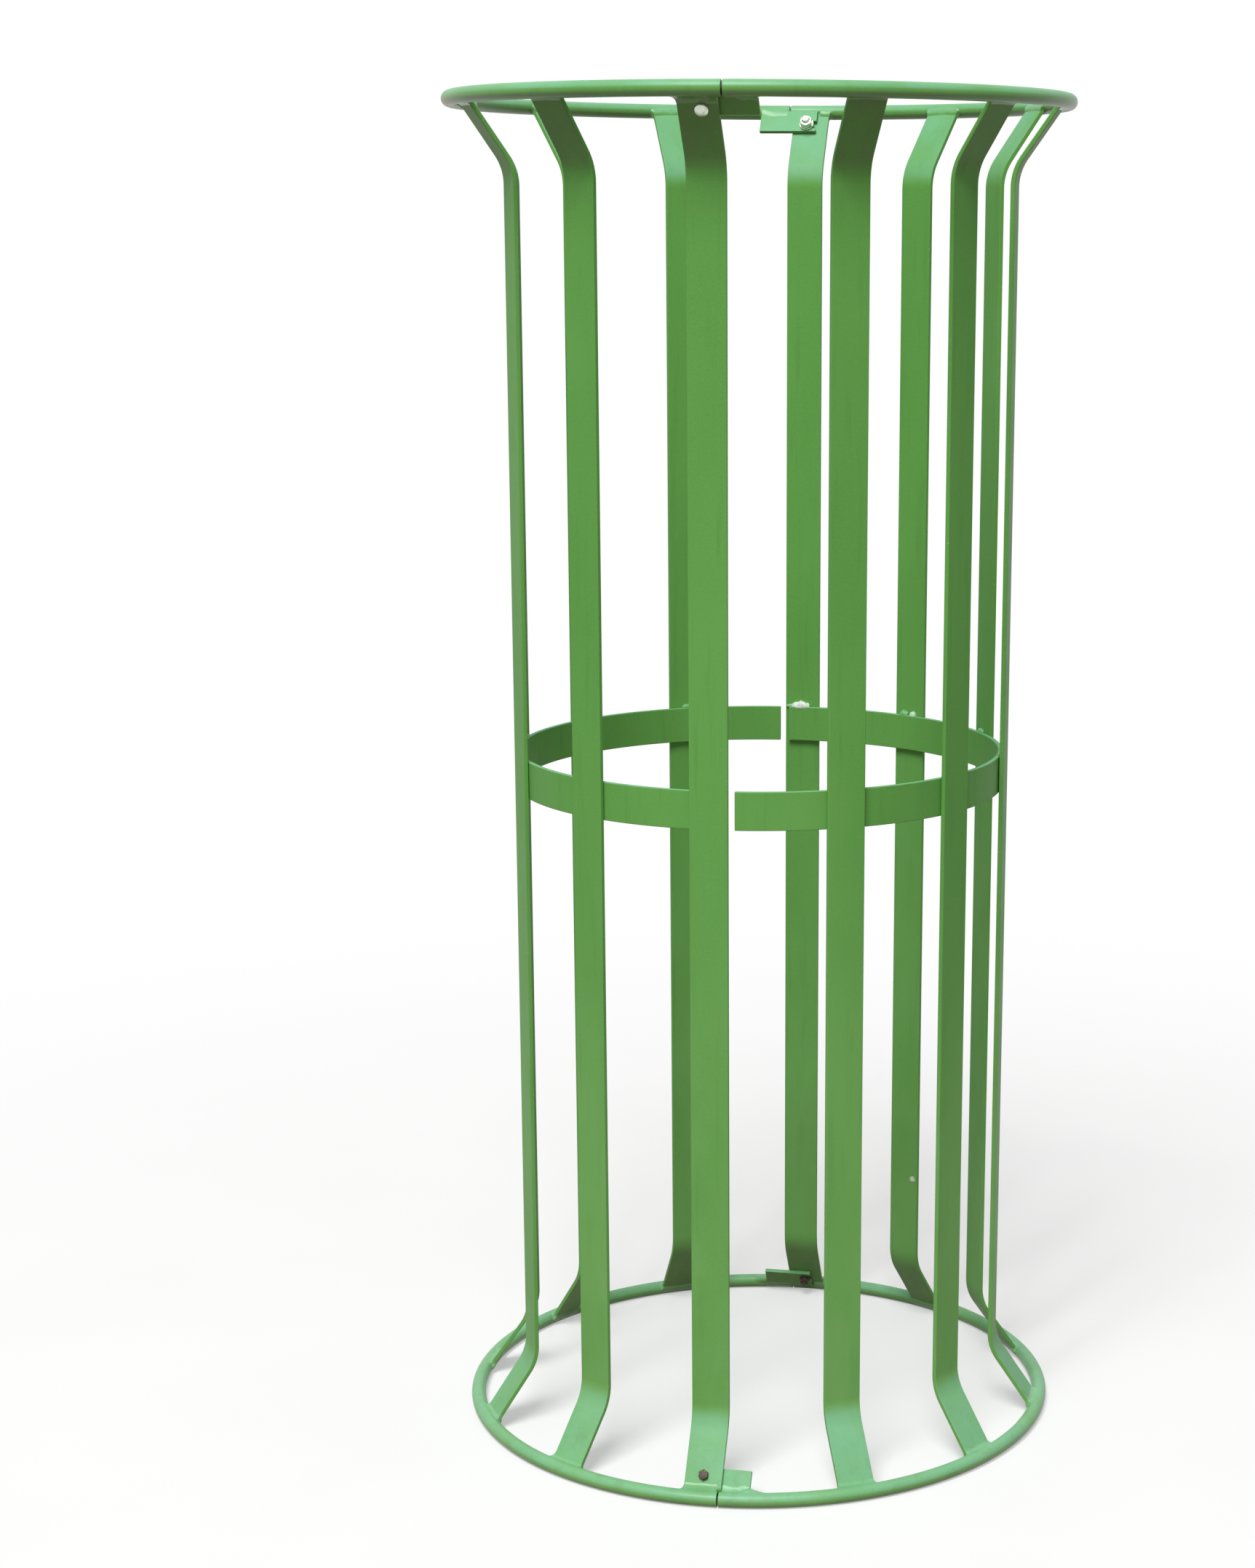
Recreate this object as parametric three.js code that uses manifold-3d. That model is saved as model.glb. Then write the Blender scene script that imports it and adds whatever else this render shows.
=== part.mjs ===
// Steel tree guard: two equal half frames of flared flat slats between round rings, bolted round a trunk.
// Millimetres, +Z up. The origin is on the ground at the middle of the guard, and the front is towards -Y.

import * as THREE from 'three';
import { mergeVertices } from 'three/addons/utils/BufferGeometryUtils.js';
import Module from 'manifold-3d';

const wasm = await Module();
wasm.setup();

const DEGREE = Math.PI / 180;

// Whole guard
const overallHeight = 1800;
const halves = ['left', 'right'];
const slatsPerHalf = 6;
const firstSlatAngle = -11 * DEGREE;

// Rings of round bar at the top and bottom, and how far each ring's end runs past the edge of the slat beside it
const ringBarDiameter = 20;
const seamGap = 1.5;
const topSeamPastSlat = 7;
const bottomSeamPastSlat = -3;

// Slats of flat bar, straight in the middle and flared out to the rings' centre line
const slatFaceRadius = 338;
const slatWidth = 50;
const slatThickness = 6;
const flareReach = 64;
const flareAngle = 35 * DEGREE;
const bendRadius = 65;

// Middle band of flat bar, inside the slats
const bandHeight = 50;
const bandThickness = 6;
const bandCentreHeight = 915;
const bandRootInset = 5;
const bandTipClearance = 7;

// Joining tabs, welded inside one half's ring ends and bolted behind the other half's first slat
const tabWidth = 35;
const tabThickness = 6;
const tabWeldLength = 40;
const tabTailInset = 16;
const tabSeatAngle = 41 * DEGREE;

// Bolts: how far down the flare from the ring they sit, and their two patterns
const boltDrop = 31;
const topBolt = {
  kind: 'domed',
  towardsSeam: 4.5,
  shankDiameter: 10,
  headWidth: 18,
  headHeight: 5.5,
  headRim: 1.2,
  nutWidth: 16,
  nutHeight: 8,
  washerDiameter: 20,
  washerThickness: 2,
};
const bottomBolt = {
  kind: 'hexagonal',
  towardsSeam: 0,
  shankDiameter: 8,
  headWidth: 12,
  headHeight: 5.3,
  headRim: 0.8,
  nutWidth: 12,
  nutHeight: 6.5,
  washerDiameter: 16,
  washerThickness: 1.6,
};
const boltEndLength = 4;
const boltEndChamfer = 1;

// Clearances
const fitGap = 0.3;
const boltHoleClearance = 1;
const cutOverrun = 5;

// Mesh fineness
const barSides = 16;
const ringSteps = 60;
const bandSteps = 40;
const copeSteps = 6;
const bendSteps = 8;
const roundSegments = 24;
const domeSteps = 5;
const hexagonSides = 6;

// Colours of the paint and the two kinds of fastener
const paint = { color: 0x4f9a55, roughness: 0.45, metalness: 0 };
const zinc = { color: 0xb9bdb8, roughness: 0.35, metalness: 0.9 };
const weatheredSteel = { color: 0x3a342e, roughness: 0.6, metalness: 0.7 };

// Sizes worked out from the ones above

const top = { way: 1, seamPastSlat: topSeamPastSlat, bolt: topBolt };
const bottom = { way: -1, seamPastSlat: bottomSeamPastSlat, bolt: bottomBolt };
const ends = [top, bottom];
const slatPitchAngle = Math.PI / slatsPerHalf;
const ringRadius = slatFaceRadius + flareReach;
const barRadius = ringBarDiameter / 2;
const barReach = barRadius / Math.cos(Math.PI / barSides);
const slatEdgeAngle = Math.asin(slatWidth / 2 / ringRadius);
const slatEdgeSag = ringRadius * (1 - Math.cos(slatEdgeAngle));
const slatRadius = slatFaceRadius - slatThickness / 2;
const tabTail = slatWidth / 2 - tabTailInset;

// The flare's planes, as distances inside the ring's centre line, square to the flare
const tabFaceOffset = (barReach + fitGap) * Math.cos(tabSeatAngle);
const tabEdgeDrop = (barReach + fitGap) * Math.sin(tabSeatAngle);
const slatInnerOffset = tabFaceOffset + slatEdgeSag * Math.cos(flareAngle) - fitGap;
const slatOffset = slatInnerOffset - slatThickness / 2;
const slatOuterOffset = slatOffset - slatThickness / 2;

const halfHeight = overallHeight / 2;
const ringHeight = halfHeight - barRadius;

// A point in the flare's upright plane: x outward from the axis, y up from mid height
function flarePoint(offset, drop) {
  const x = ringRadius - offset * Math.cos(flareAngle) - drop * Math.sin(flareAngle);
  const y = ringHeight + offset * Math.sin(flareAngle) - drop * Math.cos(flareAngle);
  return new THREE.Vector2(x, y);
}

// Solids: three.js geometry to a closed solid and back

function solidOf(geometry) {
  const bare = geometry.clone();
  bare.deleteAttribute('normal');
  bare.deleteAttribute('uv');
  const merged = mergeVertices(bare);
  const vertProperties = new Float32Array(merged.attributes.position.array);
  const triVerts = new Uint32Array(merged.index.array);
  return new wasm.Manifold(new wasm.Mesh({ numProp: 3, vertProperties, triVerts }));
}

function geometryOf(solid) {
  const mesh = solid.getMesh();
  const geometry = new THREE.BufferGeometry();
  geometry.setAttribute('position', new THREE.BufferAttribute(new Float32Array(mesh.vertProperties), 3));
  geometry.setIndex(new THREE.BufferAttribute(new Uint32Array(mesh.triVerts), 1));
  const flat = geometry.toNonIndexed();
  flat.computeVertexNormals();
  return flat;
}

function cut(geometry, cutters) {
  return geometryOf(cutters.reduce((solid, cutter) => solid.subtract(solidOf(cutter)), solidOf(geometry)));
}

// Paths round the guard's axis: angle zero is the front, and angles grow towards +X

class RingArc extends THREE.Curve {
  constructor(start, end) {
    super();
    this.start = start;
    this.end = end;
  }

  getPoint(t, target = new THREE.Vector3()) {
    const angle = THREE.MathUtils.lerp(this.start, this.end, t);
    return target.set(ringRadius * Math.sin(angle), -ringRadius * Math.cos(angle), 0);
  }
}

// The bar's section, swept along those paths
function barSection(reach) {
  const section = new THREE.Shape();
  for (let side = 0; side < barSides; side += 1) {
    const angle = ((side + 0.5) / barSides) * 2 * Math.PI;
    const x = reach * Math.cos(angle);
    const y = reach * Math.sin(angle);
    if (side === 0) section.moveTo(x, y);
    else section.lineTo(x, y);
  }
  section.closePath();
  return section;
}

// Turns a drawing with x outward and y up into the front slat's place
function standAtFront(geometry) {
  const outward = new THREE.Vector3(0, -1, 0);
  const up = new THREE.Vector3(0, 0, 1);
  const sideways = new THREE.Vector3(-1, 0, 0);
  return geometry.applyMatrix4(new THREE.Matrix4().makeBasis(outward, up, sideways));
}

// The frame of a bolt at the front: origin on the slat's outer face, z along the bolt towards its head
function boltPlace({ way, bolt }) {
  const { x, y } = flarePoint(slatOuterOffset, boltDrop);
  const turn = new THREE.Matrix4().makeRotationX(Math.PI / 2 + way * flareAngle);
  return turn.setPosition(bolt.towardsSeam, -x, halfHeight + way * y);
}

// Rings

function halfRing({ way, seamPastSlat }) {
  const seamAngle = Math.asin((slatWidth / 2 + seamPastSlat) / ringRadius);
  const start = seamAngle - Math.PI + seamGap / ringRadius;
  const extrudePath = new RingArc(start, seamAngle);
  const hoop = new THREE.ExtrudeGeometry(barSection(barReach), { steps: ringSteps, extrudePath });
  return hoop.translate(0, 0, halfHeight + way * ringHeight);
}

// Slats

function slatFace(outward) {
  const bendAngleReach = bendRadius * Math.tan(flareAngle / 2);
  const bendDrop = (ringRadius - slatOffset * Math.cos(flareAngle) - slatRadius) / Math.sin(flareAngle);
  const bendStart = flarePoint(slatOffset, bendDrop).y - bendAngleReach;
  const faceRadius = bendRadius - outward;
  const upper = [];
  for (let step = 0; step <= bendSteps; step += 1) {
    const angle = (step / bendSteps) * flareAngle;
    const x = slatRadius + bendRadius - faceRadius * Math.cos(angle);
    const y = bendStart + faceRadius * Math.sin(angle);
    upper.push(new THREE.Vector2(x, y));
  }
  upper.push(flarePoint(slatOffset - outward, 0));
  const lower = upper.map(({ x, y }) => new THREE.Vector2(x, -y)).reverse();
  return [...lower, ...upper];
}

function slatBar() {
  const outline = [...slatFace(slatThickness / 2), ...slatFace(-slatThickness / 2).reverse()];
  const bar = new THREE.ExtrudeGeometry(new THREE.Shape(outline), { depth: slatWidth, bevelEnabled: false });
  return standAtFront(bar.translate(0, 0, -slatWidth / 2)).translate(0, 0, halfHeight);
}

// The ring and its clearance over a stretch of its arc, which what is welded to it there is coped to
function ringCutter({ way }, startAngle, endAngle) {
  const options = { steps: copeSteps, extrudePath: new RingArc(startAngle, endAngle) };
  const cutter = new THREE.ExtrudeGeometry(barSection(barReach + fitGap), options);
  return cutter.translate(0, 0, halfHeight + way * ringHeight);
}

function holeCutter(end) {
  const radius = end.bolt.shankDiameter / 2 + boltHoleClearance;
  const length = slatThickness + 2 * cutOverrun;
  const hole = new THREE.CylinderGeometry(radius, radius, length, roundSegments).rotateX(Math.PI / 2);
  return hole.translate(0, 0, -slatThickness / 2).applyMatrix4(boltPlace(end));
}

function slat(bolted) {
  const reach = Math.asin((slatWidth / 2 + cutOverrun) / ringRadius);
  const cutters = ends.map((end) => ringCutter(end, -reach, reach));
  if (bolted) cutters.push(...ends.map(holeCutter));
  return cut(slatBar(), cutters);
}

// Middle band

function halfBand() {
  const outerRadius = slatFaceRadius - slatThickness - fitGap;
  const innerRadius = outerRadius - bandThickness;
  const rootAngle = Math.asin((slatWidth / 2 - bandRootInset) / outerRadius) - Math.PI / 2;
  const tipInset = Math.asin((slatWidth / 2 + bandTipClearance) / outerRadius);
  const tipAngle = tipInset - Math.PI - Math.PI / 2;
  const sector = new THREE.Shape();
  sector.absarc(0, 0, outerRadius, tipAngle, rootAngle, false);
  sector.absarc(0, 0, innerRadius, rootAngle, tipAngle, true);
  const options = { depth: bandHeight, bevelEnabled: false, curveSegments: bandSteps };
  return new THREE.ExtrudeGeometry(sector, options).translate(0, 0, bandCentreHeight - bandHeight / 2);
}

// Joining tabs, with a slot open at the tail so that a slackened bolt lets the halves slide apart

function slotCutter(end) {
  const radius = end.bolt.shankDiameter / 2 + boltHoleClearance;
  const slotEnd = -tabTail - end.bolt.towardsSeam - cutOverrun;
  const slot = new THREE.Shape();
  slot.absarc(0, 0, radius, -Math.PI / 2, Math.PI / 2, false);
  slot.lineTo(slotEnd, radius);
  slot.lineTo(slotEnd, -radius);
  slot.closePath();
  const depth = tabThickness + 2 * cutOverrun;
  const options = { depth, bevelEnabled: false, curveSegments: roundSegments / 2 };
  const cutter = new THREE.ExtrudeGeometry(slot, options);
  const innerSide = -slatThickness - fitGap - tabThickness - cutOverrun;
  return cutter.translate(0, 0, innerSide).applyMatrix4(boltPlace(end));
}

// A flat plate: the ring curves back over it from the slat's edge on, so its upper edge is coped to the ring
function tabSection({ way }) {
  const corners = [
    flarePoint(tabFaceOffset, tabEdgeDrop),
    flarePoint(tabFaceOffset, tabEdgeDrop + tabWidth),
    flarePoint(tabFaceOffset + tabThickness, tabEdgeDrop + tabWidth),
    flarePoint(tabFaceOffset + tabThickness, tabEdgeDrop),
  ];
  return new THREE.Shape(corners.map(({ x, y }) => new THREE.Vector2(x - slatEdgeSag, way * y)));
}

function tab(end) {
  const tabReach = slatWidth / 2 + end.seamPastSlat + tabWeldLength;
  const options = { depth: tabReach + tabTail, bevelEnabled: false };
  const plate = new THREE.ExtrudeGeometry(tabSection(end), options).translate(0, 0, -tabReach);
  const weldEnd = Math.asin((tabReach + cutOverrun) / ringRadius);
  const cutters = [ringCutter(end, slatEdgeAngle, weldEnd), slotCutter(end)];
  return cut(standAtFront(plate).translate(0, 0, halfHeight), cutters);
}

// Fasteners, drawn in the bolt's own frame

function shankEnd(bolt) {
  const grip = slatThickness + tabThickness + bolt.washerThickness + bolt.nutHeight;
  return -grip - 3 * fitGap - boltEndLength;
}

// A turned solid from points given as distance from the axis and height
function turned(points, segments = roundSegments) {
  const profile = points.map(([radius, height]) => new THREE.Vector2(radius, height));
  return new THREE.LatheGeometry(profile, segments).rotateX(Math.PI / 2);
}

function domedBoltShape(bolt) {
  const shankRadius = bolt.shankDiameter / 2;
  const headRadius = bolt.headWidth / 2;
  const tip = shankEnd(bolt);
  const domeRise = bolt.headHeight - bolt.headRim;
  const points = [
    [0, tip],
    [shankRadius - boltEndChamfer, tip],
    [shankRadius, tip + boltEndChamfer],
    [shankRadius, fitGap],
    [headRadius, fitGap],
  ];
  for (let step = 0; step < domeSteps; step += 1) {
    const angle = (step / domeSteps) * (Math.PI / 2);
    points.push([headRadius * Math.cos(angle), fitGap + bolt.headRim + domeRise * Math.sin(angle)]);
  }
  points.push([0, fitGap + bolt.headHeight]);
  return turned(points);
}

function hexagonRadius(acrossFlats) {
  return acrossFlats / 2 / Math.cos(Math.PI / hexagonSides);
}

function hexagonalBoltShape(bolt) {
  const shankRadius = bolt.shankDiameter / 2;
  const headRadius = hexagonRadius(bolt.headWidth);
  const tip = shankEnd(bolt);
  const shank = turned([
    [0, tip],
    [shankRadius - boltEndChamfer, tip],
    [shankRadius, tip + boltEndChamfer],
    [shankRadius, fitGap + bolt.headHeight / 2],
    [0, fitGap + bolt.headHeight / 2],
  ]);
  const headTop = fitGap + bolt.headHeight;
  const head = turned([
    [0, fitGap],
    [headRadius, fitGap],
    [headRadius, headTop - bolt.headRim],
    [headRadius - bolt.headRim, headTop],
    [0, headTop],
  ], hexagonSides);
  return geometryOf(solidOf(head).add(solidOf(shank)));
}

function boltShape(bolt) {
  return bolt.kind === 'domed' ? domedBoltShape(bolt) : hexagonalBoltShape(bolt);
}

function washerShape(bolt) {
  const outer = bolt.washerDiameter / 2;
  const inner = bolt.shankDiameter / 2 + fitGap;
  const upper = -slatThickness - tabThickness - 2 * fitGap;
  const lower = upper - bolt.washerThickness;
  return turned([
    [inner, lower],
    [outer, lower],
    [outer, upper],
    [inner, upper],
    [inner, lower],
  ]);
}

function nutShape(bolt) {
  const upper = -slatThickness - tabThickness - bolt.washerThickness - 3 * fitGap;
  const height = bolt.nutHeight;
  const block = new THREE.CylinderGeometry(
    hexagonRadius(bolt.nutWidth), hexagonRadius(bolt.nutWidth), height, hexagonSides);
  const boreRadius = bolt.shankDiameter / 2 + fitGap;
  const bore = new THREE.CylinderGeometry(boreRadius, boreRadius, height + 2 * cutOverrun, roundSegments);
  const nut = cut(block, [bore]);
  return nut.rotateX(Math.PI / 2).translate(0, 0, upper - height / 2);
}

// Assembly

function addMesh(group, name, geometry, look, turn = 0) {
  const mesh = new THREE.Mesh(geometry, new THREE.MeshStandardMaterial(look));
  mesh.name = name;
  mesh.rotation.z = turn;
  group.add(mesh);
  return mesh;
}

function addFasteners(group, prefix, end, look) {
  const { bolt } = end;
  const place = boltPlace(end);
  addMesh(group, `${prefix}_bolt`, boltShape(bolt).applyMatrix4(place), look);
  addMesh(group, `${prefix}_washer`, washerShape(bolt).applyMatrix4(place), look);
  addMesh(group, `${prefix}_nut`, nutShape(bolt).applyMatrix4(place), look);
}

// A half frame with its first slat at the front; its own tabs lie behind the other half's first slat
function halfFrame(side) {
  const group = new THREE.Group();
  addMesh(group, `${side}_top_ring`, halfRing(top), paint);
  addMesh(group, `${side}_bottom_ring`, halfRing(bottom), paint);
  addMesh(group, `${side}_middle_band`, halfBand(), paint);
  for (let index = 0; index < slatsPerHalf; index += 1) {
    addMesh(group, `${side}_slat_${index + 1}`, slat(index === 0), paint, -index * slatPitchAngle);
  }
  addMesh(group, `${side}_top_tab`, tab(top), paint, Math.PI);
  addMesh(group, `${side}_bottom_tab`, tab(bottom), paint, Math.PI);
  addFasteners(group, `${side}_top`, top, zinc);
  addFasteners(group, `${side}_bottom`, bottom, weatheredSteel);
  return group;
}

const guard = new THREE.Group();
halves.forEach((side, index) => {
  const half = halfFrame(side);
  half.rotation.z = firstSlatAngle + index * Math.PI;
  guard.add(half);
});

export default guard;
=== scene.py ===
"""The looks of a steel tree guard: two bolted half frames of flared flat slats between round rings.

Metres, +Z up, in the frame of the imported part. Each piece is drawn as if its slat stood at the front,
towards -Y, and is then turned about the guard's axis into its place.
"""

import math
import random

import bmesh
import bpy
from mathutils import Matrix, Vector, noise

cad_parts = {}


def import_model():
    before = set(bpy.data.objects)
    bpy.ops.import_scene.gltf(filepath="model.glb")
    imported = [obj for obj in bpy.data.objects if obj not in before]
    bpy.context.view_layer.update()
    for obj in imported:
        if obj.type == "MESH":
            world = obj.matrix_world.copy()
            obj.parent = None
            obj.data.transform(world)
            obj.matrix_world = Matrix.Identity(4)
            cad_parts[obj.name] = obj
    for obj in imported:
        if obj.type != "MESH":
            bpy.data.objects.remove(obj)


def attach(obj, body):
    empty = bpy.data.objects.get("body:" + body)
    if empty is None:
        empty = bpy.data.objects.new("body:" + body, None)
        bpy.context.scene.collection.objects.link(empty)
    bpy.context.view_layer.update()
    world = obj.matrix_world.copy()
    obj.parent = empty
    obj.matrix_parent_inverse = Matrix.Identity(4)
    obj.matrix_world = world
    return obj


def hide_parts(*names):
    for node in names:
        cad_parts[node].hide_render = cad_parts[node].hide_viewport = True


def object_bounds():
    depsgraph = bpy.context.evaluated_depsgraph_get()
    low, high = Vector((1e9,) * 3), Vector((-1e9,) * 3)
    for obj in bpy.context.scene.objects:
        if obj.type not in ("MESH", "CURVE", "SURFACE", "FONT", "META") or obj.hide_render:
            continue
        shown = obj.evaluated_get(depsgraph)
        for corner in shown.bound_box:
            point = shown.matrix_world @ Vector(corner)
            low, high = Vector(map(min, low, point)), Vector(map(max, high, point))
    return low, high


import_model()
cad_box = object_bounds()

MM = 0.001
HALVES = ("left", "right")

# Whole guard
OVERALL_HEIGHT = 1800 * MM
SLATS_PER_HALF = 6
FIRST_SLAT_ANGLE = math.radians(-11)

# Rings of round bar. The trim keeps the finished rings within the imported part's box.
BAR_RADIUS = 10 * MM
RING_RADIUS = 402 * MM
RING_TRIM = 0.01 * MM
SEAM_GAP = 1.5 * MM
TOP_SEAM_PAST_SLAT = 7 * MM
BOTTOM_SEAM_PAST_SLAT = -3 * MM
RING_END_CHAMFER = 0.8 * MM

# Slats of flat bar. Each bows outward at mid height, by no more than the bow.
SLAT_FACE_RADIUS = 338 * MM
SLAT_WIDTH = 50 * MM
SLAT_THICKNESS = 6 * MM
SLAT_EDGE_RADIUS = 1.1 * MM
SLAT_BOW = 0.4 * MM
FLARE_ANGLE = math.radians(35)
BEND_RADIUS = 65 * MM

# Middle band of flat bar
BAND_HEIGHT = 50 * MM
BAND_THICKNESS = 6 * MM
BAND_EDGE_RADIUS = 0.9 * MM
BAND_END_INSET = 0.8 * MM
BAND_CENTRE_HEIGHT = 915 * MM
BAND_ROOT_INSET = 5 * MM
BAND_TIP_CLEARANCE = 7 * MM

# Joining tabs of flat bar
TAB_WIDTH = 35 * MM
TAB_THICKNESS = 6 * MM
TAB_EDGE_RADIUS = 0.7 * MM
TAB_EDGE_SEGMENTS = 3
TAB_WELD_LENGTH = 40 * MM
TAB_TAIL_INSET = 16 * MM
TAB_FACE_OFFSET = 7.93 * MM
TAB_EDGE_DROP = 6.89 * MM

# Bolts
BOLT_DROP = 31 * MM
BOLT_END_LENGTH = 4 * MM
BOLT_END_CHAMFER = 1 * MM
BOLT_HOLE_CLEARANCE = 1 * MM
BOLTS = {
    "top": dict(
        slot="zinc_plated_steel", towards_seam=4.5 * MM, shank=10 * MM, pitch=1.5 * MM,
        domed=True, head=18 * MM, head_height=5.5 * MM, rim=1.2 * MM,
        nut=16 * MM, nut_height=8 * MM, washer=20 * MM, washer_thickness=2 * MM,
    ),
    "bottom": dict(
        slot="weathered_steel", towards_seam=0.0, shank=8 * MM, pitch=1.25 * MM,
        domed=False, head=12 * MM, head_height=5.3 * MM, rim=0.8 * MM,
        nut=12 * MM, nut_height=6.5 * MM, washer=16 * MM, washer_thickness=1.6 * MM,
    ),
}

# How fasteners are finished. Thread depth is in pitches, flat and core are shares of width or radius.
THREAD_DEPTH = 0.54
HEXAGON_FLAT = 0.47
HEXAGON_CHAMFER = math.radians(28)
CORE = 0.02
HEAD_BASE_ROUND = 0.3 * MM
HEAD_RIM_ROUND = 0.2 * MM
DOME_INSET = 0.15 * MM
WASHER_ROUND = 0.25 * MM
NUT_LEAD = 0.6 * MM
FASTENER_SHARPNESS = math.radians(32)

# Welds on the rings: their legs along the ring, and how much further they climb the plate
SIDE_LEGS = (3 * MM, 6.5 * MM)
FACE_LEG = 5 * MM
FACE_LEG_SHARES = (0.85, 1.1)
SEAM_SLAT_FACE_LEG = 9 * MM
SEAM_SIDE_CLIMB = 27 * MM
CLIMB = 1.35
TAB_LEG = 7 * MM
TAB_CLIMB = 12 * MM
TAB_INNER_CLIMB = 0.6 * TAB_CLIMB
TAB_END_LEG = 4 * MM
INNER_CROWN = 1.5 * MM
BLEND_LEAST_FALL = 0.1
BLEND_MOST_CLIMB = 0.8

# Taper towards the seam, and margins from it and from the tab's rounded edge
SEAM_TAPER_LENGTH = 5 * MM
SEAM_TAPER_LEAST = 0.3
SEAM_MARGIN = 1 * MM
TAB_EDGE_MARGIN = 1 * MM
WELD_CORE = 1.5 * MM
WELD_SINK = 0.05 * MM
WELD_CLEARANCE = 2.5 * MM

# The run-off, a ridge of weld along the bottom ring past the tab
RUN_UP_LENGTH = 15 * MM
RUN_OFF_LENGTH = 24 * MM
RUN_OFF_HEIGHT = 7.5 * MM
RUN_OFF_SPREAD = (math.radians(28), math.radians(-62))
RUN_OFF_FALL = 1.3
RUN_OFF_ROUNDING = 1.3

# How uneven the welds are. Scales are per metre, and waves are a scale and a share of the leg.
RIPPLE_LENGTH = 2.4 * MM
RIPPLE_HEIGHT = 0.06 * MM
RIPPLE_LEAN = 0.4
LUMP_HEIGHT = 0.3 * MM
LUMP_SCALE = 140
SLAT_WELD_WAVES = (60, 0.12)
TAB_WELD_WAVES = (70, 0.3)
FACE_ROUGHNESS = 0.3
INNER_ROUGHNESS = 0.9
TAB_ROUGHNESS = 1.8

# The side legs that the photograph shows, by half, slat and end: millimetres towards -X, +X at the front
SEEN_SIDE_LEGS = {place: (left * MM, right * MM) for place, (left, right) in {
    ("left", 1, "top"): (12, 5.5),
    ("left", 1, "bottom"): (8, 0),
    ("left", 2, "top"): (5, 4),
    ("left", 2, "bottom"): (11, 4),
    ("left", 3, "top"): (5, 5),
    ("left", 3, "bottom"): (8, 8),
    ("left", 6, "top"): (4.5, 7),
    ("right", 5, "top"): (4, 4),
    ("right", 5, "bottom"): (3, 5.5),
    ("right", 6, "top"): (6.5, 3),
    ("right", 6, "bottom"): (3, 6),
}.items()}

# Dabs of weld on the band's upper edge, by half and slat: place to the side, length, radius, and how
# pale with painted glare
TACK_SHIFTS = (-4, 4)
TACK_LENGTH = 22 * MM
TACK_RADII = (3.2 * MM, 4.6 * MM)
SEEN_TACKS = {
    ("left", 6): [(-3 * MM, 20 * MM, 5 * MM, 0.35)],
    ("right", 1): [(2 * MM, 27 * MM, 6.2 * MM, 1.0), (17 * MM, 14 * MM, 2.8 * MM, 0.5)],
    ("right", 2): [(8 * MM, 15 * MM, 4.8 * MM, 0.2), (-7 * MM, 11 * MM, 4.2 * MM, 0.8)],
    ("right", 3): [(4 * MM, 18 * MM, 4 * MM, 0.0)],
}

# How a dab rounds off at its ends, sits in the band, bulges and bumps
TACK_SEEDS = (7, 5)
TACK_ENDS = (0.04, 0.92)
TACK_END_POWER = 0.8
TACK_DEPTH = 0.15
TACK_RISE, TACK_FALL = 1.25, 0.8
TACK_BULGE, TACK_BULGE_SCALE = 0.28, 190
TACK_BUMP, TACK_BUMP_SCALE, TACK_BUMP_REACH = 0.16, 300, 2

# Edge wear and painted light: below 0 for painted shade in the seam gap, up to 1 where paint rubs off,
# above it for painted glare on weld
PAINTED_SEAM_SHADE = -1.0
WORN = 1.0
PAINTED_GLARE = 2.0
RING_WEAR = 0.2
TAB_EDGE_WEAR = 0.6
RING_WELD_WEAR = 0.2
TAB_WELD_WEAR = 0.3
TACK_WEAR = 0.5
FASTENER_WEAR = 0.5

# Clearances, and how deep welded pieces run into each other
FIT_GAP = 0.3 * MM
SINK = 0.2 * MM

# Mesh fineness
MERGE_DISTANCE = 0.005 * MM
CORNER_STEPS = 4
WELD_CORNER_STEPS = 8
EDGE_MARGIN = 2.5 * MM
SECTION_SPACING = 12 * MM
WELD_SPACING = 1.2 * MM
WELD_STEPS = 9
WELD_SHARPNESS = math.radians(50)
RING_WALK_STEPS = 6
COPE_SEARCH_STEPS = 30
STRAIGHT_STEPS = 24
BEND_STEPS = 14
FLARE_SHARES = (0.3, 0.6, 0.8, 0.92, 1.0)
BAR_SEGMENTS = 32
ARC_STEPS = 150
ROUND_SEGMENTS = 48
HEXAGON_SEGMENTS = 72
DOME_STEPS = 10
THREAD_STEPS = 8

# Sizes worked out from the ones above
HALF_HEIGHT = OVERALL_HEIGHT / 2
RING_HEIGHT = HALF_HEIGHT - BAR_RADIUS
SLAT_PITCH_ANGLE = math.pi / SLATS_PER_HALF
SLAT_EDGE_SAG = RING_RADIUS * (1 - math.cos(math.asin(SLAT_WIDTH / 2 / RING_RADIUS)))
SLAT_RADIUS = SLAT_FACE_RADIUS - SLAT_THICKNESS / 2
SLAT_INNER_OFFSET = TAB_FACE_OFFSET + SLAT_EDGE_SAG * math.cos(FLARE_ANGLE) - FIT_GAP
SLAT_OFFSET = SLAT_INNER_OFFSET - SLAT_THICKNESS / 2
SLAT_OUTER_OFFSET = SLAT_OFFSET - SLAT_THICKNESS / 2
TAB_TAIL = SLAT_WIDTH / 2 - TAB_TAIL_INSET
BAND_OUTER_RADIUS = SLAT_FACE_RADIUS - SLAT_THICKNESS - FIT_GAP
BAND_RADIUS = BAND_OUTER_RADIUS - BAND_THICKNESS / 2
BEND_REACH = BEND_RADIUS * math.tan(FLARE_ANGLE / 2)
BEND_DROP = (RING_RADIUS - SLAT_OFFSET * math.cos(FLARE_ANGLE) - SLAT_RADIUS) / math.sin(FLARE_ANGLE)

rng = random.Random(11)


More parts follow.
